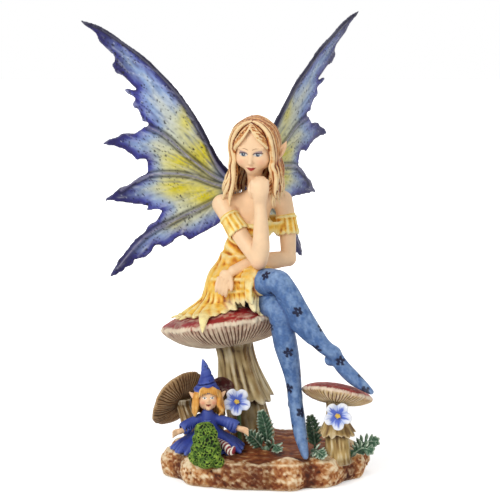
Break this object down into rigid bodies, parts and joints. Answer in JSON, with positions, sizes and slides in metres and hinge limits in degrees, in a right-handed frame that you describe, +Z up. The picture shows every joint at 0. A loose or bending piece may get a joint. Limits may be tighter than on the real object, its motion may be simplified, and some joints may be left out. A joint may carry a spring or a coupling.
{
  "type": "fairy figurine",
  "caption": "Seated fairy figurine with raised wings, resting on a toadstool, with a small doll, plants and a smaller toadstool on a rocky base; it stands on a shelf as decoration.",
  "frame": {"origin": "centre of the rock base's flat underside", "axes": "+Z up; the front, where the fairy's face and crossed legs show, looks along -Y; +X is to the right of someone facing the front"},
  "size_m": [0.1247, 0.1035, 0.1885],
  "materials": {
    "base": "matte",
    "large_toadstool": "matte",
    "small_toadstool": "matte",
    "leaning_toadstool": "matte",
    "dark_toadstool": "satin",
    "fairy": "satin",
    "right_wing": "satin",
    "left_wing": "satin",
    "pixie": "satin",
    "moss": "matte",
    "left_flower": "satin",
    "right_flower": "satin",
    "fern_by_pixie": "satin",
    "fern_by_foot": "satin",
    "fern_by_edge": "satin"
  },
  "bodies": {
    "root": {"base": "base", "large_toadstool": "large_toadstool", "small_toadstool": "small_toadstool", "leaning_toadstool": "leaning_toadstool", "dark_toadstool": "dark_toadstool", "fairy": "fairy", "right_wing": "right_wing", "left_wing": "left_wing", "pixie": "pixie", "moss": "moss", "left_flower": "left_flower", "right_flower": "right_flower", "fern_by_pixie": "fern_by_pixie", "fern_by_foot": "fern_by_foot", "fern_by_edge": "fern_by_edge"}
  },
  "joints": []
}
